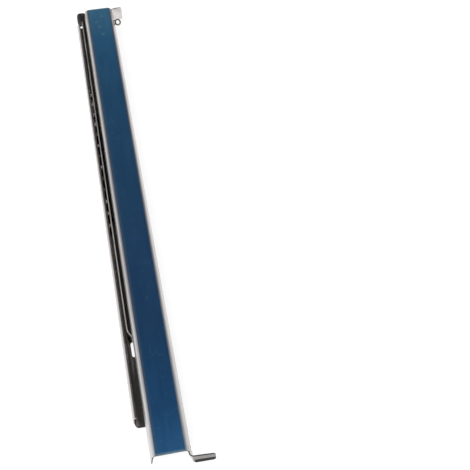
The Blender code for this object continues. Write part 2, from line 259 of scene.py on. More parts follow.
def ribbon(name, low_edge, high_edge, thickness):
    """A sheet-metal strip between two long edges, with eased edges and rows of faces."""
    loops = []
    count = len(low_edge)
    for index in range(count):
        low, high = Vector(low_edge[index]), Vector(high_edge[index])
        near, far = max(index - 1, 0), min(index + 1, count - 1)
        along = Vector(low_edge[far]) + Vector(high_edge[far])
        along -= Vector(low_edge[near]) + Vector(high_edge[near])
        up = (high - low).normalized()
        across = along.cross(up).normalized()
        loop = []
        for side, end, out in ((1, high, up), (-1, high, up), (-1, low, -up), (1, low, -up)):
            centre = end - out * EDGE_EASE + across * side * (thickness / 2 - EDGE_EASE)
            quarter = []
            for step in range(EDGE_STEPS + 1):
                angle = math.pi / 2 * step / EDGE_STEPS
                quarter.append(
                    centre
                    + across * side * EDGE_EASE * math.cos(angle)
                    + out * EDGE_EASE * math.sin(angle)
                )
            turns_back = (side > 0) != (end is high)
            loop += quarter[::-1] if turns_back else quarter
            if turns_back:
                shares = RIBBON_ROWS[::-1] if end is high else RIBBON_ROWS
                face = across * side * thickness / 2
                loop += [low.lerp(high, share) + face for share in shares]
        loops.append(loop)
    return loft(name, loops)


def turned(name, profile, centre, steps=40):
    """A solid turned about +Z from (radius, z) points; the first and last are on the axis."""
    verts = [(centre[0], centre[1], profile[0][1])]
    faces = []
    inner = profile[1:-1]
    for radius, z in inner:
        for step in range(steps):
            angle = 2 * math.pi * step / steps
            verts.append(
                (centre[0] + radius * math.cos(angle), centre[1] + radius * math.sin(angle), z)
            )
    verts.append((centre[0], centre[1], profile[-1][1]))
    last = len(verts) - 1
    for step in range(steps):
        after = (step + 1) % steps
        faces.append((0, 1 + after, 1 + step))
        for row in range(len(inner) - 1):
            base = 1 + row * steps
            faces.append((base + step, base + after, base + steps + after, base + steps + step))
        base = 1 + (len(inner) - 1) * steps
        faces.append((base + step, base + after, last))
    return mesh_object(name, verts, faces)


def block(name, x, y, z):
    return along_z(name, rectangle(x, y), z)


def cut(obj, *cutters, operation="DIFFERENCE"):
    for cutter in cutters:
        change = obj.modifiers.new(cutter.name, "BOOLEAN")
        change.operation = operation
        change.solver = "EXACT"
        change.object = cutter
        cutter.hide_render = True
    return obj


def settle(obj, width=0.0, segments=2, limit=50.0, crease=38.0):
    """Applies the modifiers, with a last small bevel, and shades smooth between creases."""
    if width:
        edge = obj.modifiers.new("edges", "BEVEL")
        edge.width = width * MM
        edge.segments = segments
        edge.limit_method = "ANGLE"
        edge.angle_limit = math.radians(limit)
        edge.miter_outer = "MITER_ARC"
    cutters = [m.object for m in obj.modifiers if m.type == "BOOLEAN"]
    bpy.context.view_layer.update()
    graph = bpy.context.evaluated_depsgraph_get()
    mesh = bpy.data.meshes.new_from_object(obj.evaluated_get(graph))
    obj.modifiers.clear()
    obj.data = mesh
    for cutter in cutters:
        if cutter.name in bpy.data.objects:
            bpy.data.objects.remove(cutter)
    for polygon in mesh.polygons:
        polygon.use_smooth = True
    mesh.set_sharp_from_angle(angle=math.radians(crease))
    return obj


# ---------------------------------------------------------------- materials


class Look:
    """A Principled material and short ways to add nodes to it."""

    def __init__(self, name, metallic, roughness, **sockets):
        self.material = bpy.data.materials.new(name)
        self.material.use_nodes = True
        self.tree = self.material.node_tree
        self.shader = self.tree.nodes["Principled BSDF"]
        self.shader.inputs["Metallic"].default_value = metallic
        self.shader.inputs["Roughness"].default_value = roughness
        for socket, value in sockets.items():
            self.shader.inputs[socket.replace("_", " ")].default_value = value
        self.place = self.add("ShaderNodeTexCoord").outputs["Object"]

    def add(self, kind, **settings):
        node = self.tree.nodes.new(kind)
        for key, value in settings.items():
            setattr(node, key, value)
        return node

    def plug(self, node, socket, value):
        if hasattr(value, "is_output"):
            self.tree.links.new(value, node.inputs[socket])
        else:
            node.inputs[socket].default_value = value

    def scaled(self, x, y, z, turn=0.0):
        """Object coordinates times these scales, which are per millimetre."""
        node = self.add("ShaderNodeMapping")
        self.plug(node, "Vector", self.place)
        node.inputs["Scale"].default_value = (x / MM, y / MM, z / MM)
        node.inputs["Rotation"].default_value = (0.0, 0.0, turn)
        return node.outputs["Vector"]

    def axis(self, letter):
        """One object coordinate, in metres."""
        node = self.add("ShaderNodeSeparateXYZ")
        self.plug(node, 0, self.place)
        return node.outputs[letter]

    def between(self, value, start, end, smooth=False):
        """0 where a length in metres is at the first of two millimetre values, 1 at the second."""
        node = self.add("ShaderNodeMapRange")
        if smooth:
            node.interpolation_type = "SMOOTHSTEP"
        self.plug(node, "Value", value)
        node.inputs["From Min"].default_value = start * MM
        node.inputs["From Max"].default_value = end * MM
        return node.outputs["Result"]

    def along_slide(self):
        """0 at the channel's front end and 1 at its rear end."""
        return self.between(self.axis("Y"), FRONT, REAR)

    def noise(self, vector, detail=3.0, roughness=0.55, distortion=0.0):
        node = self.add("ShaderNodeTexNoise")
        self.plug(node, "Vector", vector)
        self.plug(node, "Scale", 1.0)
        self.plug(node, "Detail", detail)
        self.plug(node, "Roughness", roughness)
        self.plug(node, "Distortion", distortion)
        return node.outputs["Fac"]

    def cells(self, vector, feature="F1"):
        node = self.add("ShaderNodeTexVoronoi", feature=feature)
        self.plug(node, "Vector", vector)
        self.plug(node, "Scale", 1.0)
        return node.outputs["Distance"]

    def ramp(self, factor, *stops):
        node = self.add("ShaderNodeValToRGB")
        self.plug(node, "Fac", factor)
        fill_ramp(node.color_ramp, stops)
        return node.outputs["Color"]

    def sums(self, operation, first, second):
        node = self.add("ShaderNodeMath", operation=operation)
        self.plug(node, 0, first)
        self.plug(node, 1, second)
        return node.outputs["Value"]

    def spread(self, factor, low, high):
        node = self.add("ShaderNodeMapRange")
        self.plug(node, "Value", factor)
        node.inputs["To Min"].default_value = low
        node.inputs["To Max"].default_value = high
        return node.outputs["Result"]

    def mix(self, factor, first, second, kind="MIX"):
        node = self.add("ShaderNodeMix", data_type="RGBA", blend_type=kind)
        for socket, value in ((0, factor), (6, first), (7, second)):
            self.plug(node, socket, (*value, 1.0) if isinstance(value, tuple) else value)
        return node.outputs[2]

    def spots(self, places, radius, feather):
        """1 near any of these (x, y) millimetre places on the film and 0 away from them."""
        total = None
        for x, y in places:
            node = self.add("ShaderNodeVectorMath", operation="DISTANCE")
            self.plug(node, 0, self.place)
            node.inputs[1].default_value = (x * MM, y * MM, FILM_TOP * MM)
            near = self.between(node.outputs["Value"], radius, radius * (1 - feather), smooth=True)
            total = near if total is None else self.sums("MAXIMUM", total, near)
        return total

    def bump(self, height, distance, strength=1.0, under=None):
        node = self.add("ShaderNodeBump")
        self.plug(node, "Height", height)
        node.inputs["Distance"].default_value = distance * MM
        node.inputs["Strength"].default_value = strength
        if under is not None:
            self.plug(node, "Normal", under)
        return node.outputs["Normal"]

    def wear(self, colour, roughness=None, normal=None):
        for socket, value in (("Base Color", colour), ("Roughness", roughness), ("Normal", normal)):
            if value is not None:
                self.tree.links.new(value, self.shader.inputs[socket])
        return self.material


def fill_ramp(ramp, stops):
    """Sets a ramp's stops from (position, grey or colour) pairs."""
    while len(ramp.elements) < len(stops):
        ramp.elements.new(0.5)
    for element, (position, colour) in zip(ramp.elements, stops):
        element.position = position
        value = colour if isinstance(colour, tuple) else (colour,) * 3
        element.color = (*value, 1.0)


def scratches(look, turn, across, along, width=0.012, gate=0.55):
    """Sparse fine lines: the borders of long thin cells, kept only in patches."""
    lines = look.cells(look.scaled(across, along, across, turn), "DISTANCE_TO_EDGE")
    thin = look.ramp(lines, (0.0, 1.0), (width, 0.0))
    patches = look.noise(look.scaled(across * 0.35, along * 1.6, across * 0.35, turn), 1.0)
    return look.sums("MULTIPLY", thin, look.ramp(patches, (gate, 0.0), (gate + 0.08, 1.0)))


# For each bend: the x where the painted shade is full, the x where it ends, the side test, and the
# shade's strength along the slide from the front end (0) to the rear end (1).
BEND_SHADES = (
    (-12.8, -15.2, "LESS_THAN", ((0.0, 0.60), (0.25, 0.52), (0.5, 0.66), (0.75, 0.42), (1.0, 0.34))),
    (12.2, 16.2, "GREATER_THAN", ((0.0, 0.68), (0.25, 0.54), (0.5, 0.78), (0.75, 0.98), (1.0, 0.92))),
)
# The colour of the bends' painted shade along the slide, with a lighter teal painted reflection at the
# front.
BEND_SHADE_TONES = (
    (0.0, (0.52, 0.60, 0.675)),
    (0.10, (0.46, 0.52, 0.59)),
    (0.28, (0.195, 0.225, 0.285)),
    (0.5, (0.185, 0.215, 0.275)),
)


def painted_bend_shade(look, colour):
    """Painted shade and reflection on both bends: a dull bluish tone, a lighter teal at the front end
    and darker away from it.
    """
    sideways = look.axis("X")
    along = look.along_slide()
    total = None
    for full_x, end_x, side_test, strengths in BEND_SHADES:
        share = look.sums(
            "MULTIPLY", look.between(sideways, end_x, full_x, smooth=True), look.ramp(along, *strengths)
        )
        share = look.sums("MULTIPLY", share, look.sums(side_test, sideways, 0.0))
        total = share if total is None else look.sums("ADD", total, share)
    return look.mix(total, colour, look.ramp(along, *BEND_SHADE_TONES))


def stainless(name, tint, dark, lift=0.0, shade_bends=False):
    """Rolled stainless steel; `lift` makes it rougher and `shade_bends` adds the painted shade on the
    bends.
    """
    look = Look(name, 0.9, 0.3)
    grain = look.noise(look.scaled(3.2, 0.035, 3.2), 4.0, 0.62)
    smear = look.noise(look.scaled(0.09, 0.022, 0.09), 3.0, 0.5, 0.4)
    hair = scratches(look, 0.05, 1.1, 0.05, width=0.02, gate=0.5)
    slant = scratches(look, 0.5, 0.5, 0.045, width=0.016, gate=0.58)
    marks = look.sums("MAXIMUM", hair, slant)
    colour = look.mix(look.ramp(grain, (0.3, 0.0), (0.7, 1.0)), dark, tint)
    colour = look.mix(look.ramp(smear, (0.45, 0.0), (0.75, 0.45)), colour, (0.56, 0.53, 0.50))
    colour = look.mix(look.sums("MULTIPLY", marks, 0.5), colour, (0.78, 0.77, 0.76))
    if shade_bends:
        # Painted shade and reflection on the bends.
        colour = painted_bend_shade(look, colour)
    rough = look.sums(
        "ADD",
        look.spread(grain, 0.30 + lift, 0.50 + lift),
        look.sums("MULTIPLY", look.ramp(smear, (0.45, 0.0), (0.75, 1.0)), 0.12),
    )
    normal = look.bump(grain, 0.006, 0.5)
    normal = look.bump(marks, 0.01, 0.4, normal)
    return look.wear(colour, rough, normal)


# The film's painted light and shade along the slide from the front end (0) to the rear end (1).
FILM_PAINTED_LIGHT = (
    (0.0, (0.46, 0.62, 0.64)),
    (0.07, (0.24, 0.38, 0.43)),
    (0.22, (0.25, 0.30, 0.33)),
    (0.50, (0.31, 0.36, 0.365)),
    (0.75, (0.33, 0.44, 0.425)),
    (0.90, (0.46, 0.61, 0.57)),
    (1.0, (0.96, 0.97, 0.73)),
)
# A painted highlight on the film's front and rear ends.
FILM_END_HIGHLIGHTS = ((0.0, 1.0), (0.0022, 0.0), (0.9975, 0.0), (1.0, 1.0))
# Where the film turns darker and greyer towards its left edge.
LEFT_GREYING_X = (-8.8, -12.2)
BLISTERS = ((2.6, 261.5), (-1.2, 243.5), (1.6, 230.5))
PALE_SPOTS = (*BLISTERS, (-4.0, 252.0))
FLECKS = (
    (-6.2, -252.0), (-5.4, -263.5), (1.8, -241.0), (7.4, -268.0), (8.6, -262.0), (-8.2, -224.0),
    (4.6, -207.0), (-3.0, 226.0), (6.4, 257.0), (-7.0, 269.0), (-4.4, 205.0), (-1.2, -48.0),
    (0.4, -51.5), (-3.6, -2.5), (-5.2, -5.0), (1.6, -98.0),
)
WELD_SHADOWS = ((0.0, -38.0), (-1.0, -60.0))


def film_tone(look, cloud, grain):
    """The film's blue: cloudy and grained, with painted light and shade that is lighter towards both
    ends, a painted highlight on each end, and darker and greyer towards its left edge.
    """
    blue = look.mix(
        look.ramp(cloud, (0.3, 0.0), (0.72, 1.0)), (0.046, 0.156, 0.363), (0.062, 0.194, 0.424)
    )
    blue = look.mix(look.ramp(grain, (0.35, 0.0), (0.75, 0.5)), blue, (0.077, 0.231, 0.484))
    along = look.along_slide()
    # Painted light and shade along the slide.
    blue = look.mix(1.0, blue, look.ramp(along, *FILM_PAINTED_LIGHT), "MULTIPLY")
    # Painted highlights on both ends.
    end_glint = look.ramp(along, *FILM_END_HIGHLIGHTS)
    blue = look.mix(look.sums("MULTIPLY", end_glint, 0.6), blue, (0.24, 0.40, 0.48))
    # Darker and greyer towards the film's left edge.
    left_greying = look.between(look.axis("X"), *LEFT_GREYING_X, smooth=True)
    return look.mix(look.sums("MULTIPLY", left_greying, 0.75), blue, (0.10, 0.115, 0.135))


def film_material():
    look = Look("film_blue_pe", 0.35, 0.3, Coat_Weight=0.25, Coat_Roughness=0.22)
    grain = look.noise(look.scaled(1.5, 0.03, 1.5), 4.0, 0.6)
    cloud = look.noise(look.scaled(0.07, 0.02, 0.07), 3.0, 0.55, 0.6)
    fine = look.noise(look.scaled(2.4, 2.4, 2.4), 2.0, 0.5)
    pale = look.spots(PALE_SPOTS, 3.0, 0.9)
    hair = scratches(look, 0.9, 0.16, 0.05, width=0.018, gate=0.56)
    crease = scratches(look, -0.5, 0.24, 0.03, width=0.012, gate=0.6)
    marks = look.sums("MAXIMUM", hair, crease)
    colour = film_tone(look, cloud, grain)
    for mark, strength, tone in (
        (pale, 0.8, (0.10, 0.21, 0.31)),
        (look.spots(FLECKS, 1.1, 0.9), 0.45, (0.09, 0.20, 0.36)),
        (look.spots(WELD_SHADOWS, 4.5, 0.95), 0.35, (0.035, 0.07, 0.24)),
        (marks, 0.35, (0.10, 0.19, 0.30)),
    ):
        colour = look.mix(look.sums("MULTIPLY", mark, strength), colour, tone)
    rough = look.sums(
        "ADD",
        look.spread(grain, 0.22, 0.40),
        look.sums("MULTIPLY", look.sums("MAXIMUM", marks, pale), 0.18),
    )
    normal = look.bump(cloud, 0.05, 0.5)
    normal = look.bump(fine, 0.004, 0.5, normal)
    normal = look.bump(marks, 0.012, 0.5, normal)
    return look.wear(colour, rough, normal)


def plating(name, base, light, gloss):
    """Smooth plated steel that mirrors its surroundings, with faint rubs, nicks and dust."""
    look = Look(name, 1.0, gloss)
    peel = look.noise(look.scaled(1.6, 1.6, 1.6), 2.0, 0.5)
    cloud = look.noise(look.scaled(0.10, 0.04, 0.10), 4.0, 0.6, 0.5)
    dust = look.ramp(look.noise(look.scaled(3.5, 3.5, 3.5), 2.0, 0.7), (0.66, 0.0), (0.74, 1.0))
    rub = scratches(look, 0.03, 0.8, 0.03, width=0.03, gate=0.52)
    nick = scratches(look, 1.1, 0.4, 0.06, width=0.012, gate=0.6)
    marks = look.sums("MAXIMUM", rub, nick)
    scraped = tuple(min(1.0, 1.5 * channel) for channel in light)
    dusty = tuple(0.6 * channel for channel in base)
    colour = look.mix(look.ramp(cloud, (0.3, 0.0), (0.7, 1.0)), base, light)
    colour = look.mix(look.sums("MULTIPLY", marks, 0.4), colour, scraped)
    colour = look.mix(look.sums("MULTIPLY", dust, 0.25), colour, dusty)
    rough = look.sums(
        "ADD", look.spread(cloud, gloss - 0.06, gloss + 0.08), look.sums("MULTIPLY", marks, 0.10)
    )
    normal = look.bump(peel, 0.004, 0.3)
    normal = look.bump(marks, 0.004, 0.3, normal)
    return look.wear(colour, rough, normal)


def bare_edge_and_highlight(name):
    """Bright sheared or worn bare steel, with darker streaks of plating left on it; its brightness is
    partly a painted highlight.
    """
    look = Look(name, 1.0, 0.3)
    streak = look.noise(look.scaled(2.0, 0.05, 2.0), 4.0, 0.6)
    colour = look.mix(
        look.ramp(streak, (0.34, 0.0), (0.5, 1.0)), (0.42, 0.40, 0.38), (0.92, 0.90, 0.88)
    )
    return look.wear(colour, look.spread(streak, 0.38, 0.58), look.bump(streak, 0.008, 0.5))


def zinc(name, dull, bright, metallic=1.0, grease=0.0):
    """Spangled zinc with a yellowish haze and, with `grease`, dark clots."""
    look = Look(name, metallic, 0.35)
    spangle = look.cells(look.scaled(0.5, 0.35, 0.5))
    grain = look.noise(look.scaled(2.5, 0.2, 2.5), 3.0, 0.6)
    haze = look.noise(look.scaled(0.12, 0.12, 0.12), 3.0, 0.6, 0.8)
    colour = look.mix(look.ramp(spangle, (0.1, 0.0), (0.9, 1.0)), dull, bright)
    stained = tuple(0.95 * c * warmth for c, warmth in zip(bright, (0.97, 0.90, 0.73)))
    colour = look.mix(look.ramp(haze, (0.5, 0.0), (0.8, 0.4)), colour, stained)
    clots = look.noise(look.scaled(0.34, 0.26, 0.34), 2.0, 0.5, 0.3)
    clotted = look.sums("MULTIPLY", look.ramp(clots, (0.47, 0.0), (0.53, 1.0)), grease)
    colour = look.mix(clotted, colour, (0.045, 0.04, 0.038))
    rough = look.spread(grain, 0.26, 0.46)
    return look.wear(colour, rough, look.bump(grain, 0.006, 0.5))


def ball_steel(name, bright, dull, metallic):
    """Chrome steel under a skin of grease."""
    look = Look(name, metallic, 0.3)
    skin = look.noise(look.scaled(0.8, 0.8, 0.8), 3.0, 0.6, 0.5)
    colour = look.mix(look.ramp(skin, (0.4, 0.0), (0.7, 1.0)), bright, dull)
    return look.wear(colour, look.spread(skin, 0.16, 0.42), look.bump(skin, 0.004, 0.3))


def moulded(name, base, light, gloss, scale, level=0.4):
    """Moulded plastic or rubber, finely pitted, with faint flow marks."""
    look = Look(name, 0.0, gloss, Specular_IOR_Level=level)
    pits = look.noise(look.scaled(scale, scale, scale), 3.0, 0.6)
    flow = look.noise(look.scaled(0.2, 0.08, 0.3), 3.0, 0.6, 1.0)
    colour = look.mix(look.ramp(flow, (0.3, 0.0), (0.75, 1.0)), base, light)
    rough = look.spread(pits, gloss - 0.1, gloss + 0.12)
    return look.wear(colour, rough, look.bump(pits, 0.02, 0.5))


# The channel's stainless, with painted shade on its bends.
STAINLESS = stainless("stainless_rolled", (0.70, 0.68, 0.672), (0.58, 0.56, 0.552), shade_bends=True)
# A lighter copy of the stainless for the tab's front face: painted light.
STAINLESS_TAB_LIT = stainless("stainless_tab_painted_light", (0.88, 0.84, 0.83), (0.80, 0.765, 0.755), 0.05)
STAINLESS_WIRE = stainless("stainless_wire_drawn", (0.46, 0.42, 0.39), (0.26, 0.23, 0.21), 0.05)
# Darker stainless for the sheared edges: partly the edges' own duller steel, partly painted shade.
STAINLESS_CUT_SHADED = stainless("stainless_sheared_edge_painted_shade", (0.30, 0.285, 0.275), (0.17, 0.16, 0.15), 0.1)
# A darker copy of the stainless for the finger's faces: painted shade.
FINGER_SHADED = stainless("finger_painted_shade_face", (0.34, 0.32, 0.31), (0.24, 0.225, 0.22), 0.05)
FINGER_DARK = moulded(
    "finger_dark_band", (0.008, 0.008, 0.008), (0.020, 0.019, 0.018), 0.5, 2.2, 0.12
)
FILM = film_material()
PLATING = plating("rail_plating", (0.61, 0.575, 0.57), (0.71, 0.675, 0.67), 0.20)
# A darker, browner copy of the rail plating for the inner members: painted shade of the gap they sit
# in.
PLATING_SHADED = plating("rail_plating_brown_shaded", (0.25, 0.225, 0.21), (0.34, 0.305, 0.28), 0.24)
BARE_AND_HIGHLIGHT = bare_edge_and_highlight("bare_steel_edge_and_painted_highlight")
ZINC = zinc("zinc_plate", (0.50, 0.515, 0.54), (0.66, 0.67, 0.68))
# Cage steel: dark on the strip's front part, pale with dark clots on its rear part.
CAGE = zinc("cage_steel_dark", (0.11, 0.105, 0.10), (0.20, 0.19, 0.18))
CAGE_PALE = zinc("cage_steel_pale_clotted", (0.60, 0.60, 0.60), (0.88, 0.88, 0.87), 0.3, 0.9)
# Pale, barely metallic balls: a painted glint.
BALL = ball_steel("ball_painted_glint", (0.95, 0.94, 0.92), (0.80, 0.77, 0.72), 0.15)
# Browner balls: a dimmer painted glint.
BALL_DIM_GLINT = ball_steel("ball_painted_dim_glint", (0.44, 0.42, 0.40), (0.27, 0.25, 0.23), 0.5)
BALL_DARK = ball_steel("ball_dark_grease", (0.16, 0.15, 0.14), (0.07, 0.06, 0.055), 1.0)
NYLON = moulded("black_nylon_moulded", (0.022, 0.020, 0.020), (0.046, 0.042, 0.041), 0.32, 1.8, 0.7)
RUBBER = moulded("black_rubber_moulded", (0.016, 0.016, 0.016), (0.034, 0.033, 0.032), 0.72, 2.6)


def finish(obj, body, node, slot, *materials):
    """Gives a piece its materials and its body, and hides the CAD node it stands for; `slot` is not
    used.
    """
    obj.data.materials.clear()
    for material in materials:
        obj.data.materials.append(material)
    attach(obj, body)
    if node:
        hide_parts(node)
    return obj


def paint(obj, index, test):
    """Gives material number `index` to the faces whose middle, in millimetres, passes."""
    for polygon in obj.data.polygons:
        if test(polygon.center / MM, polygon.normal):
            polygon.material_index = index


# ---------------------------------------------------------------- channel


def flange_x(z):
    """Middle of the +X flange's thickness at this height."""
    return WEB_HALF + (FLANGE_HALF - WEB_HALF) * (WEB_TOP - z) / (WEB_TOP - FLANGE_BOTTOM)


def finger_edges():
    """The two long edges of the finger, from inside the flange, round the bend, to the tip."""
    edges = []
    corner_x = FINGER_END - FINGER_CORNER
    for root_z, tip_z, side in zip(FINGER_ROOT_Z, FINGER_TIP_Z, (1, -1)):
        root_x = flange_x(root_z)
        start = (root_x, FRONT + 5.0)
        line = rounded([start, (root_x, FINGER_Y), (corner_x, FINGER_Y)], [FINGER_BEND], 14)
        line = [start] + [(root_x, FRONT + 2.0 - step) for step in range(3)] + line[1:]
        for step in range(1, 10):
            angle = math.pi / 2 * step / 9
            line.append((FINGER_END - FINGER_CORNER * (1 - math.sin(angle)), FINGER_Y))
        edge = []
        for x, y in line:
            share = max(0.0, (x - root_x) / (FINGER_END - root_x))
            over = max(0.0, x - corner_x) / FINGER_CORNER
            shrink = FINGER_CORNER * (1 - math.sqrt(max(0.0, 1 - over * over)))
            ease = share * share * (3 - 2 * share)
            edge.append((x, y, root_z + (tip_z - root_z) * ease + side * shrink))
        edges.append(edge)
    return edges


def tab_edges():
    """The two long edges of the bend that joins the rear tab to the flange."""
    edges = []
    bend_y = REAR - 0.2
    for z in (FLANGE_BOTTOM + 0.3, TAB_Z[1] - 0.5):
        root_x = flange_x(z)
        line = rounded(
            [(root_x, REAR - 7.0), (root_x, bend_y), (TAB_X[1] - 4.0, bend_y)], [TAB_BEND], 12
        )
        edges.append([(x, y, z) for x, y in line])
    return edges


# The walls of the flange's hole, which get the dark band's finish as painted shade.
def shaded_hole_wall(at, normal):
    near = math.hypot(at.y - HOLE_Y, at.z - HOLE_Z) < HOLE_RADIUS + 0.25
    return near and abs(at.x) > 13.0 and abs(normal.x) < 0.85


# The tab's front faces, which get the painted light.
def tab_face(at, normal):
    return at.y > REAR - 2.0 and at.x > 15.6 and normal.y < -0.5


# The finger's faces, which get the painted shade.
def shaded_finger_skin(at, normal):
    return at.y < FRONT - 1.2 and at.x > 16.6


# Level edges of the finger and the flanges, which get the painted shade.
def shaded_level_edge(at, normal):
    return abs(normal.z) > 0.7 and at.z < 23.2 and at.x > 14.0


# The front end's cut edges, which get the painted shade.
def shaded_front_edge(at, normal):
    return normal.y < -0.6 and FRONT - 1.4 < at.y < FRONT + 1.0 and at.x < 16.6


def finger_band(at, normal):
    return at.y < FINGER_Y + 1.5 and at.x > 18.0 and at.z < FINGER_BAND_Z and normal.y < 0.3


channel_line = rounded(
    [
        (FLANGE_HALF, FLANGE_BOTTOM),
        (WEB_HALF, WEB_TOP - SHEET / 2),
        (-WEB_HALF, WEB_TOP - SHEET / 2),
        (-LEFT_FLANGE_HALF, FLANGE_BOTTOM),
    ],
    [CHANNEL_BEND] * 2,
    12,
)
channel = along_y(
    "channel_shell",
    sheet_outline(channel_line, SHEET),
    (FRONT - TONGUE_REACH, FRONT + 8.0, 0.0, REAR - 9.0, REAR),
)
cut(channel, block("web_end", (-18.0, 18.0), (FRONT - 9.0, FRONT), (TONGUE_TOP, 30.0)))
# A hair thinner than the flange, so that no faces of the unions lie in one plane.
BENT_SHEET = SHEET - 0.02
cut(channel, ribbon("finger", *finger_edges(), BENT_SHEET), operation="UNION")
cut(channel, ribbon("tab_bend", *tab_edges(), BENT_SHEET), operation="UNION")
plate_ring = round_ring(rectangle((TAB_X[0] + 1.4, TAB_X[1]), TAB_Z), TAB_CORNER, 8)
plate = loft("tab_plate", [[(x, y, z) for x, z in plate_ring] for y in (REAR - 0.8, REAR + 0.4)])
cut(channel, plate, operation="UNION")
drill = [(0.0, -4.0), (HOLE_RADIUS, -4.0), (HOLE_RADIUS, 4.0), (0.0, 4.0)]
hole = turned("flange_hole", drill, (0.0, 0.0), 24)
hole.rotation_euler = (0.0, math.radians(HOLE_LEAN), 0.0)
hole.location = (flange_x(HOLE_Z) * MM, HOLE_Y * MM, HOLE_Z * MM)
cut(channel, hole)
settle(channel, SHEET_BEVEL)
channel_looks = (STAINLESS, STAINLESS_CUT_SHADED, FINGER_DARK, FINGER_SHADED, STAINLESS_TAB_LIT)
finish(channel, "drawer", "channel_cover", "stainless", *channel_looks)
# Later tests win where two of them pass.
for look, test in (
    (FINGER_DARK, shaded_hole_wall),
    (STAINLESS_TAB_LIT, tab_face),
    (FINGER_SHADED, shaded_finger_skin),
    (STAINLESS_CUT_SHADED, shaded_level_edge),
    (STAINLESS_CUT_SHADED, shaded_front_edge),
    (FINGER_DARK, finger_band),
):
    paint(channel, channel_looks.index(look), test)

# ---------------------------------------------------------------- film


def film_bubbles():
    """Places, radii and heights of the bubbles: the blisters and some at random."""
    sizes = ((1.7, 0.16), (2.0, 0.18), (1.5, 0.14))
    made = [(x, y, radius, rise) for (x, y), (radius, rise) in zip(BLISTERS, sizes)]
    random.seed(41)
    for _ in range(FILM_BUBBLES):
        x, y = random.uniform(-9.5, 9.5), random.uniform(-262.0, 262.0)
        made.append((x, y, random.uniform(0.7, 1.9), random.uniform(0.04, 0.12)))
    return made


def film_height(x, y):
    """Height of the film's top over the web: long faint ripples, bubbles and lifted edges."""
    height = 0.12
    height += 0.020 * math.sin(y * 0.11 + 0.35 * x) * math.sin(y * 0.037 + 1.1)
    height += 0.012 * math.sin(y * 0.31 - 0.5 * x + 0.7)
    for bx, by, radius, rise in bubbles:
        gap = math.hypot(x - bx, (y - by) * 0.7) / radius
        if gap < 1.0:
            height += rise * (1 - gap * gap) ** 2
    edge = max(0.0, (abs(x) - 11.0) / 1.1)
    height += 0.10 * edge * edge * (0.6 + 0.4 * math.sin(y * 0.05))
    tail = max(0.0, (y - (REAR - 5.0)) / 5.0) + max(0.0, (FRONT + 4.0 - y) / 4.0)
    return min(0.62, height + 0.16 * tail * tail)


def film_half_width(y):
    """Half the film's width, a little less towards the front and round at the rear corners."""
    into = max(0.0, y - (REAR - FILM_CORNER))
    narrowing = 0.4 * min(1.0, max(0.0, (-150.0 - y) / 110.0))
    return FILM_HALF_WIDTH - narrowing - FILM_CORNER + math.sqrt(max(0.0, FILM_CORNER**2 - into**2))


def film_loop(y):
    """The film's closed outline across the slide: its top and, back again, its underside."""
    reach = film_half_width(y) + 0.02 * math.sin(y * 0.4)
    xs = [reach * (2 * step / FILM_COLUMNS - 1) for step in range(FILM_COLUMNS + 1)]
    top = [(x, y, WEB_TOP + film_height(x, y)) for x in xs]
    under = [
        (x, y, WEB_TOP + max(0.02, film_height(x, y) - FILM_THICKNESS)) for x in reversed(xs)
    ]
    return top + under


bubbles = film_bubbles()
film_ys = [FILM_START + FILM_LENGTH * step / FILM_ROWS for step in range(FILM_ROWS + 1)]
film_ys = [y for y in film_ys if y < REAR - FILM_CORNER]
film_ys += [REAR - FILM_CORNER + FILM_CORNER * math.sin(math.pi / 2 * step / 8) for step in range(9)]
film = loft("film_sheet", [film_loop(y) for y in film_ys])
settle(film, crease=50.0)
finish(film, "drawer", "protective_film", "blue_film", FILM)

# ---------------------------------------------------------------- rear eye


def wire_ring(name, centre, half, wire, around=72, section=16):
    """An oval ring of round wire in the horizontal plane, a little swollen at its weld."""
    verts, faces = [], []
    for step in range(around):
        angle = 2 * math.pi * step / around
        out = Vector((math.cos(angle) / half[0], math.sin(angle) / half[1], 0.0)).normalized()
        middle = centre + Vector((half[0] * math.cos(angle), half[1] * math.sin(angle), 0.0))
        reach = wire * (1.0 + 0.10 * math.exp(-(((angle - 2.35) / 0.16) ** 2)))
        for turn in range(section):
            around_wire = 2 * math.pi * turn / section
            lift = Vector((0.0, 0.0, reach * math.sin(around_wire)))
            verts.append(middle + out * reach * math.cos(around_wire) + lift)
    for step in range(around):
        for turn in range(section):
            after, beside = (step + 1) % around, (turn + 1) % section
            faces.append(
                (
                    step * section + turn,
                    after * section + turn,
                    after * section + beside,
                    step * section + beside,
                )
            )
    return mesh_object(name, verts, faces)


def foot_loop(x, foot_y, size, steps=20):
    """A slightly flattened ring round the wire stub that joins the eye to the flange."""
    angles = [2 * math.pi * step / steps for step in range(steps)]
    return [
        (x, foot_y + size * math.cos(angle), EYE_CENTRE.z + size * 0.9 * math.sin(angle))
        for angle in angles
    ]


eye = wire_ring("eye_ring", EYE_CENTRE, EYE_HALF, EYE_WIRE)
for tag, along in (("rear", EYE_FOOT_OFFSET), ("front", -EYE_FOOT_OFFSET)):
    loops = [foot_loop(x, EYE_CENTRE.y + along, size) for x, size in EYE_FOOT]
    cut(eye, loft(f"eye_foot_{tag}", loops), operation="UNION")
settle(eye, crease=50.0)
finish(eye, "drawer", "rear_eye", "stainless", STAINLESS_WIRE)

# ---------------------------------------------------------------- cabinet member


def corner_nib(name, side, turn, corner_x, end_y):
    """What is cut off to round one corner of the web's end; `turn` is -1 in front, 1 behind."""
    radius = CABINET_CORNER
    outline = [
        (corner_x - side * radius, end_y + turn),
        (corner_x + side, end_y + turn),
        (corner_x + side, end_y - turn * radius),
    ]
    for step in range(11):
        angle = math.pi / 2 * step / 10
        back_x = side * radius * (1 - math.cos(angle))
        back_y = turn * radius * (1 - math.sin(angle))
        outline.append((corner_x - back_x, end_y - back_y))
    return along_z(name, outline, (-2.0, 6.0))


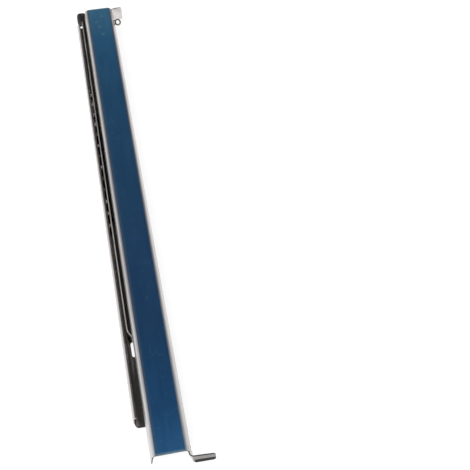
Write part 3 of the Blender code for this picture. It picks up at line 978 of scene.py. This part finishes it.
wall = [(16.6, 12.1), (19.4, 12.1), (19.4, 3.4), (17.9, 0.6), (0.0, 0.6)]
half = rounded(wall, [2.4, 3.0, 1.8], 10)
cabinet_outline = sheet_outline(mirrored(half[:-1]), SHEET)
cabinet = along_y("cabinet_rail", cabinet_outline, (CABINET_Y[0], 0.0, CABINET_Y[1]), RAIL_X)
for turn, end_y, wall_y, half_width in zip((-1, 1), CABINET_Y, CABINET_WALL_Y, CABINET_END_HALF):
    span = sorted((wall_y, end_y + turn * 5.0))
    for side in (-1, 1):
        for tag, inner, low in (("wall", 15.0, 2.5), ("edge", half_width, -2.0)):
            reach = sorted((RAIL_X + side * inner, RAIL_X + side * 24.0))
            cut(cabinet, block(f"{tag}_trim_{turn}_{side}", reach, span, (low, 16.0)))
        corner_x = RAIL_X + side * half_width
        cut(cabinet, corner_nib(f"nib_{turn}_{side}", side, turn, corner_x, end_y))
drill = [(0.0, -2.0), (MOUNT_HOLE_RADIUS, -2.0), (MOUNT_HOLE_RADIUS, 4.0), (0.0, 4.0)]
for index, place_xy in enumerate(MOUNT_HOLES):
    cut(cabinet, turned(f"hole_{index}", drill, place_xy, 36))
slot_x, slot_y = MOUNT_SLOT_HALF
for index, (x, y) in enumerate(MOUNT_SLOTS):
    ring = round_ring(rectangle((x - slot_x, x + slot_x), (y - slot_y, y + slot_y)), 1.96, 10)
    cut(cabinet, along_z(f"slot_{index}", ring, (-2.0, 4.0)))
settle(cabinet, SHEET_BEVEL)
finish(cabinet, "cabinet", "cabinet_member", "rail_steel", PLATING)

# ---------------------------------------------------------------- intermediate member


def lead_in_shift(x, y):
    """How far the walls' front ends are turned in towards the rail's centre line."""
    share = max(0.0, 1.0 - (y - INTERMEDIATE_Y[0]) / LEAD_IN)
    wall_share = min(1.0, max(0.0, (abs(x) - 9.5) / 2.5))
    return math.copysign(LEAD_IN_DEPTH * share * share * wall_share, -x)


wall = [
    (13.85, INTERMEDIATE_TOP), (13.55, INTERMEDIATE_TOP - 0.8), (13.7, 8.0), (13.7, 3.2), (0.0, 3.2),
]
half = rounded(wall, [1.0, 8.0, 1.5], 8)
outline = sheet_outline(mirrored(half[:-1]), SHEET, 0.2)
ys = [INTERMEDIATE_Y[0] + LEAD_IN * step / 10 for step in range(11)] + [0.0, INTERMEDIATE_Y[1]]
intermediate = loft(
    "intermediate_rail",
    [[(RAIL_X + x + lead_in_shift(x, y), y, z) for x, z in outline] for y in ys],
)
settle(intermediate, SHEET_BEVEL)
finish(
    intermediate, "intermediate", "intermediate_member", "intermediate_steel", PLATING_SHADED, BARE_AND_HIGHLIGHT
)
# The lips' top faces get bright steel: partly worn plating, partly a painted highlight.
paint(intermediate, 1, lambda at, normal: at.z > INTERMEDIATE_TOP - 0.42)

# ---------------------------------------------------------------- drawer member

half = rounded([(8.6, 5.6), (8.6, 12.1), (0.0, 12.1)], [1.3], 8)
drawer_outline = sheet_outline(mirrored(half[:-1]), SHEET)
drawer = along_y("drawer_rail", drawer_outline, (DRAWER_Y[0], 0.0, DRAWER_Y[1]), RAIL_X)

# ---------------------------------------------------------------- ball cages


def cage_strip(name, half_width, web_z, top, ys, ball_z, radius, ball_ys):
    """A cage's folded strip with a window at each pair of balls and openings along its web."""
    line = rounded([(half_width, top), (half_width, web_z), (0.0, web_z)], [1.0], 5)
    outline = sheet_outline(mirrored(line[:-1]), CAGE_SHEET, 0.15, 2)
    strip = along_y(f"{name}_strip", outline, (ys[0], CAGE_PALE_FROM, ys[1]), RAIL_X)
    window_half = (radius * 1.3, radius * 1.03)
    window_xs = (RAIL_X - half_width - 3.0, RAIL_X + half_width + 3.0)
    opening_xs = (RAIL_X - half_width * 0.55, RAIL_X + half_width * 0.55)
    pitch = ball_ys[1] - ball_ys[0]
    for index, y in enumerate(ball_ys):
        window = rectangle(
            (y - window_half[0], y + window_half[0]), (ball_z - window_half[1], ball_z + window_half[1])
        )
        ring = round_ring(window, radius * 0.98, 6)
        loops = [[(x, ry, rz) for ry, rz in ring] for x in window_xs]
        cut(strip, loft(f"{name}_window_{index}", loops))
        if index % 2 == 0 and index + 1 < len(ball_ys):
            opening = rectangle(opening_xs, (y + pitch * 0.2, y + pitch * 0.8))
            ring = round_ring(opening, 1.6, 4)
            cut(strip, along_z(f"{name}_opening_{index}", ring, (web_z - 2.0, web_z + 2.0)))
    return settle(strip, 0.05, 1)


def cage_ball(name, radius, centre):
    bm = bmesh.new()
    bmesh.ops.create_icosphere(bm, subdivisions=4, radius=radius * MM)
    bmesh.ops.translate(bm, verts=bm.verts, vec=Vector(centre) * MM)
    mesh = bpy.data.meshes.new(name)
    bm.to_mesh(mesh)
    bm.free()
    for polygon in mesh.polygons:
        polygon.use_smooth = True
    return place(name, mesh)


def cage(name, node, half_width, web_z, top, ys, ball_z, radius, first, pitch, count, looks, dull=()):
    """A ball cage; `looks` are its strip's front and rear parts and its balls."""
    front_look, rear_look, ball_look = looks
    ball_ys = [first + pitch * index for index in range(count)]
    strip = cage_strip(name, half_width, web_z, top, ys, ball_z, radius, ball_ys)
    finish(strip, name, node, "cage_steel", front_look, rear_look)
    # The strip's rear part is pale.
    paint(strip, 1, lambda at, normal: at.y > CAGE_PALE_FROM)
    for index, y in enumerate(ball_ys):
        for side, tag in ((-1, "left"), (1, "right")):
            centre = (RAIL_X + side * half_width, y, ball_z)
            ball = cage_ball(f"{name}_ball_{tag}_{index + 1:02d}", radius, centre)
            finish(ball, name, None, "cage_steel", BALL_DIM_GLINT if index in dull else ball_look)


cage(
    "outer_cage", "outer_ball_cage", 16.55, 1.9, 9.3, (FRONT + 241.0, FRONT + 437.0),
    ball_z=6.8, radius=2.1, first=FRONT + 249.0, pitch=15.1, count=13,
    looks=(CAGE, CAGE_PALE, BALL), dull=DIM_GLINT_BALLS,
)
cage(
    "inner_cage", "inner_ball_cage", 11.15, 4.5, 10.2, (FRONT + 255.0, FRONT + 405.0),
    ball_z=7.6, radius=1.8, first=FRONT + 262.0, pitch=17.0, count=9,
    looks=(CAGE, CAGE, BALL_DARK),
)

# ---------------------------------------------------------------- brackets and rivets

bracket_line = rounded(
    [(-5.2, 13.6), (-12.0, 13.6), (-12.0, 22.6), (3.0, 22.6), (3.0, 13.6), (-3.8, 13.6)],
    [1.5] * 4,
    8,
)
bracket_outline = sheet_outline(bracket_line, SHEET)
rivet_profile = [
    (0.0, 10.0), (2.4, 10.0), (2.62, 10.12), (2.7, 10.35), (2.7, 11.15), (1.5, 11.2), (1.5, 14.5),
    (2.6, 14.5), (2.7, 14.62), (2.68, 15.0), (2.4, 15.45), (1.8, 15.8), (1.0, 16.03), (0.0, 16.1),
]
drill = [(0.0, 9.0), (1.8, 9.0), (1.8, 15.0), (0.0, 15.0)]
for spot, y in zip(("front", "middle", "rear"), BRACKET_YS):
    bracket = along_y(f"hanger_{spot}", bracket_outline, (y - BRACKET_HALF, y, y + BRACKET_HALF))
    for side, x in zip(("outer", "inner"), RIVET_X):
        cut(bracket, turned(f"drill_a_{spot}_{side}", drill, (x, y), 32))
        cut(drawer, turned(f"drill_b_{spot}_{side}", drill, (x, y), 32))
        rivet = settle(turned(f"rivet_head_{spot}_{side}", rivet_profile, (x, y)))
        finish(rivet, "drawer", f"rivet_{spot}_{side}", "zinc_steel", ZINC)
    settle(bracket, SHEET_BEVEL)
    finish(bracket, "drawer", f"bracket_{spot}", "zinc_steel", ZINC)
settle(drawer, SHEET_BEVEL)
finish(drawer, "drawer", "drawer_member", "rail_steel", PLATING_SHADED)

# ---------------------------------------------------------------- stops


def stop_loop(y, share):
    """The stop block's outline at y; `share` is 0 where the rear rounding starts, 1 where it ends."""
    drop = 1 - math.sqrt(1 - share * share)
    side_drop, top_drop = (rounding * drop for rounding in STOP_ROUNDING)
    shape = rectangle((STOP_X[0] + side_drop, STOP_X[1]), (STOP_Z[0], STOP_Z[1] - top_drop))
    return [(x, y, z) for x, z in round_ring(shape, 3.4, 8)]


def moulding(name, x, z, ys, corner, steps):
    """A straight moulding whose section is a rounded rectangle."""
    ring = round_ring(rectangle(x, z), corner, steps)
    return loft(name, [[(px, y, pz) for px, pz in ring] for y in ys])


front_y, turn_y, rear_y = STOP_Y
stop_loops = [stop_loop(front_y, 0.0)]
stop_loops += [stop_loop(turn_y + (rear_y - turn_y) * step / 10, step / 10) for step in range(11)]
stop = settle(loft("stop_moulding", stop_loops), 1.2, 5, 60.0)
finish(stop, "cabinet", "rear_stop_block", "black_nylon", NYLON)

bumper = moulding("bumper_moulding", (-11.8, 0.2), (1.5, 11.0), BUMPER_Y, 2.0, 8)
for index in range(3):
    y = BUMPER_Y[0] + 2.2 + 2.9 * index
    cut(bumper, block(f"bumper_groove_{index}", (-13.0, 2.0), (y, y + 0.9), (10.2, 12.0)))
settle(bumper, 0.35, 3, 60.0)
finish(bumper, "cabinet", "rear_bumper", "black_rubber", RUBBER)

buffer = moulding("buffer_moulding", (-11.0, -0.6), (4.1, 8.4), BUFFER_Y, 1.0, 6)
notch_y = (BUFFER_Y[0] - 1.0, BUFFER_Y[0] + 2.4)
cut(buffer, block("buffer_notch", (-7.2, -4.4), notch_y, (6.9, 9.0)))
settle(buffer, 0.35, 3, 60.0)
finish(buffer, "intermediate", "intermediate_buffer", "black_nylon", NYLON)

# ---------------------------------------------------------------- studio

FLOOR_Z = -0.0002
FLOOR_SPAN = (-30.0, 30.0)
FLOOR_GLOW = 0.83

floor_corners = [(x, y, FLOOR_Z) for x, y in rectangle(FLOOR_SPAN, FLOOR_SPAN)]
floor_mesh = bpy.data.meshes.new("studio_floor")
floor_mesh.from_pydata(floor_corners, [], [(0, 1, 2, 3)])
floor = place("studio_floor", floor_mesh)
floor_look = Look("studio_paper", 0.0, 0.9, Specular_IOR_Level=0.1)
paper = floor_look.noise(floor_look.scaled(0.02, 0.02, 0.02), 3.0)
floor_look.wear(floor_look.mix(paper, (0.26, 0.26, 0.26), (0.30, 0.30, 0.30)))
floor_look.shader.inputs["Emission Color"].default_value = (1.0, 1.0, 1.0, 1.0)
floor_look.shader.inputs["Emission Strength"].default_value = FLOOR_GLOW
floor_mesh.materials.append(floor_look.material)

# A light tent: pale side walls and horizon under a dark ceiling. The walls run from -X (0) to
# +X (1) and the horizon from level (0) to straight up (1).
TENT_WALLS = (
    (0.06, 1.0),
    (0.17, 0.78),
    (0.28, 0.21),
    (0.40, 0.045),
    (0.50, 0.03),
    (0.68, 0.04),
    (0.78, 0.12),
    (0.88, 0.40),
    (0.97, 0.80),
)
TENT_HORIZON = ((0.0, 0.95), (0.10, 0.68), (0.24, 0.18), (0.40, 0.035))


def light_tent():
    world = bpy.data.worlds.new("studio")
    bpy.context.scene.world = world
    world.use_nodes = True
    sky = world.node_tree
    where = sky.nodes.new("ShaderNodeTexCoord")
    split = sky.nodes.new("ShaderNodeSeparateXYZ")
    sideways = sky.nodes.new("ShaderNodeMapRange")
    sideways.inputs["From Min"].default_value = -1.0
    tent = sky.nodes.new("ShaderNodeVectorMath")
    tent.operation = "MAXIMUM"
    sky.links.new(where.outputs["Generated"], split.inputs[0])
    sky.links.new(split.outputs["X"], sideways.inputs["Value"])
    for index, (value, stops) in enumerate(
        ((sideways.outputs["Result"], TENT_WALLS), (split.outputs["Z"], TENT_HORIZON))
    ):
        ramp = sky.nodes.new("ShaderNodeValToRGB")
        fill_ramp(ramp.color_ramp, stops)
        sky.links.new(value, ramp.inputs["Fac"])
        sky.links.new(ramp.outputs["Color"], tent.inputs[index])
    sky.links.new(tent.outputs[0], sky.nodes["Background"].inputs["Color"])
    sky.nodes["Background"].inputs["Strength"].default_value = 1.0


def softbox(name, position, size, power):
    """A square area light that points at the origin and isn't mirrored by the metal."""
    light = bpy.data.lights.new(name, "AREA")
    light.shape = "SQUARE"
    light.size = size
    light.energy = power
    obj = place(name, light)
    obj.location = position
    obj.visible_glossy = False
    obj.rotation_euler = (-Vector(position)).to_track_quat("-Z", "Y").to_euler()


light_tent()
softbox("key_softbox", (-0.9, -0.9, 1.9), 1.1, 34.0)
softbox("fill_softbox", (1.5, -0.3, 1.6), 1.1, 5.0)
softbox("top_softbox", (0.0, -0.2, 2.6), 0.9, 14.0)

# The camera looks down and a little to the right along the slide.
CAMERA_PLACE = (-8.19, FRONT - 314.3, 698.35)
YAW, PITCH, ROLL = 0.189, 0.909, -0.005
SENSOR_WIDTH = 36.0
FOCAL_LENGTH = 71.234


def stand_camera():
    data = bpy.data.cameras.new("camera")
    data.sensor_width = SENSOR_WIDTH
    data.lens = FOCAL_LENGTH
    data.clip_start = 0.01
    camera = place("camera", data)
    turn = Matrix.Rotation(-YAW, 3, "Z")
    right = turn @ Vector((1.0, 0.0, 0.0))
    ahead = turn @ Vector((0.0, math.cos(PITCH), -math.sin(PITCH)))
    up = turn @ Vector((0.0, math.sin(PITCH), math.cos(PITCH)))
    rolled_right = math.cos(ROLL) * right + math.sin(ROLL) * up
    rolled_up = -math.sin(ROLL) * right + math.cos(ROLL) * up
    matrix = Matrix((rolled_right, rolled_up, -ahead)).transposed().to_4x4()
    matrix.translation = Vector(CAMERA_PLACE) * MM
    camera.matrix_world = matrix
    return camera


bpy.context.scene.camera = stand_camera()
bpy.context.scene.view_settings.view_transform = "Standard"
